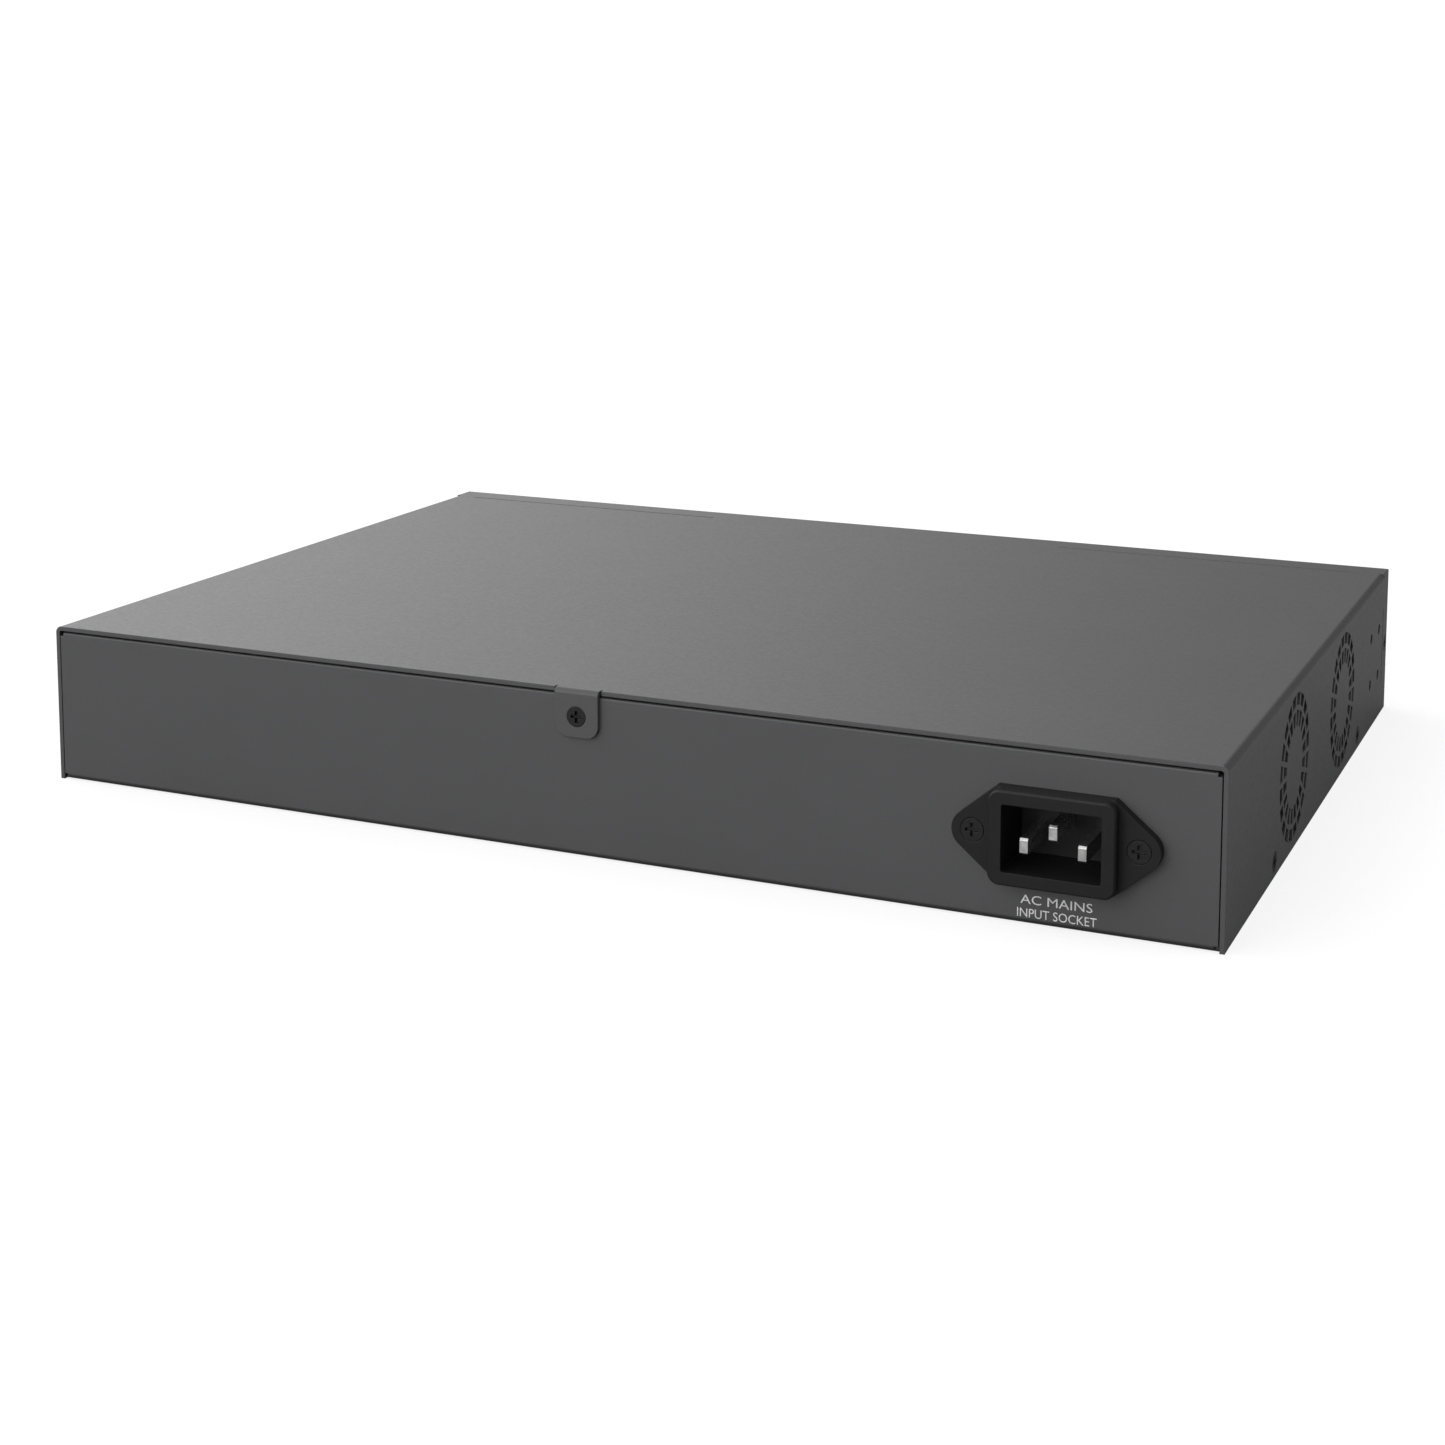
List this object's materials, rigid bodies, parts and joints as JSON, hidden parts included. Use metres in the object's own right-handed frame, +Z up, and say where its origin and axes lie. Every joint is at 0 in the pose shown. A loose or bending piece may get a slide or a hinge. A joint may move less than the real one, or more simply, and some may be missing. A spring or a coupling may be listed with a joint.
{
  "type": "rackmount network switch",
  "caption": "Thirteen-inch, one-unit-high PoE network switch: bent-steel case with rear mains inlet, side fan grilles and front copper and fibre ports.",
  "frame": {"origin": "middle of the case's underside", "axes": "+X along the width, -Y out of the ports at the front, +Y out of the mains inlet at the rear, +Z up"},
  "size_m": [0.33, 0.2368, 0.044],
  "materials": {
    "case_paint": "satin dark grey powder coat",
    "black_screws": "black zinc",
    "inlet_plastic": "fine matt moulding",
    "inlet_pins": "bright nickel plate",
    "zinc_steel": "clear zinc plate",
    "fan_plastic": "glass-filled black",
    "fan_windings": "enamelled copper on iron",
    "main_board_laminate": "green solder mask",
    "psu_board_laminate": "yellow-green laminate",
    "port_plastic": "black nylon",
    "port_tin": "tinned sheet",
    "contact_gold": "gold flash",
    "led_lens": "clear diffused",
    "button_plastic": "black",
    "chip_epoxy": "moulded epoxy",
    "sink_aluminium": "extruded",
    "capacitor_sleeve": "shrink sleeve",
    "header_nylon": "natural nylon",
    "insulating_film": "polyester film",
    "transformer_tape": "yellow tape over ferrite",
    "fuse_glass": "ceramic tube",
    "mains_wire": "black insulation",
    "earth_wire": "green-yellow insulation"
  },
  "bodies": {
    "case": {"ac_inlet_housing": "inlet_plastic", "ac_inlet_nuts": "zinc_steel", "ac_inlet_pins": "inlet_pins", "ac_inlet_screws": "black_screws", "base_tray": "case_paint", "board_capacitors": "capacitor_sleeve", "board_headers": "header_nylon", "board_screws": "zinc_steel", "button_switches": "port_plastic", "cover_front_screws": "black_screws", "cover_side_screws": "black_screws", "cover_tab_screw": "black_screws", "dc_leads": "mains_wire", "earth_lead": "earth_wire", "earth_lug": "zinc_steel", "earth_nut": "zinc_steel", "earth_stud": "zinc_steel", "fan_leads": "mains_wire", "fan_screws": "zinc_steel", "front_fan_frame": "fan_plastic", "front_fan_stator": "fan_windings", "front_panel": "case_paint", "front_panel_screws": "black_screws", "led_holder": "port_plastic", "left_port_housing": "port_plastic", "main_board": "main_board_laminate", "main_board_standoffs": "zinc_steel", "mains_leads": "mains_wire", "memory_chips": "chip_epoxy", "phy_chips": "chip_epoxy", "phy_heat_sinks": "sink_aluminium", "poe_controllers": "chip_epoxy", "port_contacts": "contact_gold", "port_shields": "port_tin", "power_inductors": "chip_epoxy", "psu_board": "psu_board_laminate", "psu_bulk_capacitors": "capacitor_sleeve", "psu_chokes": "transformer_tape", "psu_fuse": "fuse_glass", "psu_headers": "header_nylon", "psu_heat_sinks": "sink_aluminium", "psu_insulator": "insulating_film", "psu_output_capacitors": "capacitor_sleeve", "psu_standoffs": "zinc_steel", "psu_transformer": "transformer_tape", "psu_transistors": "chip_epoxy", "rear_fan_frame": "fan_plastic", "rear_fan_stator": "fan_windings", "right_port_housing": "port_plastic", "sfp_cages": "port_tin", "sfp_sockets": "port_plastic", "status_leds": "led_lens", "switch_chip": "chip_epoxy", "switch_heat_sink": "sink_aluminium", "top_cover": "case_paint", "uplink_port_housing": "port_plastic"},
    "rear_fan": {"rear_fan_rotor": "fan_plastic"},
    "front_fan": {"front_fan_rotor": "fan_plastic"},
    "mode_key": {"mode_button": "button_plastic"},
    "reset_key": {"reset_button": "button_plastic"}
  },
  "joints": [
    {"name": "rear_fan_spin", "type": "hinge", "parent": "case", "child": "rear_fan", "pos_m": [-0.1525, 0.035, 0.0218], "axis": [1, 0, 0], "continuous": true},
    {"name": "front_fan_spin", "type": "hinge", "parent": "case", "child": "front_fan", "pos_m": [-0.1525, -0.036, 0.0218], "axis": [1, 0, 0], "continuous": true},
    {"name": "mode_button_press", "type": "slide", "parent": "case", "child": "mode_key", "axis": [0, 1, 0], "range_m": [0, 0.0006], "stiffness_N_per_m": 3000},
    {"name": "reset_button_press", "type": "slide", "parent": "case", "child": "reset_key", "axis": [0, 1, 0], "range_m": [0, 0.0005], "stiffness_N_per_m": 3000}
  ]
}
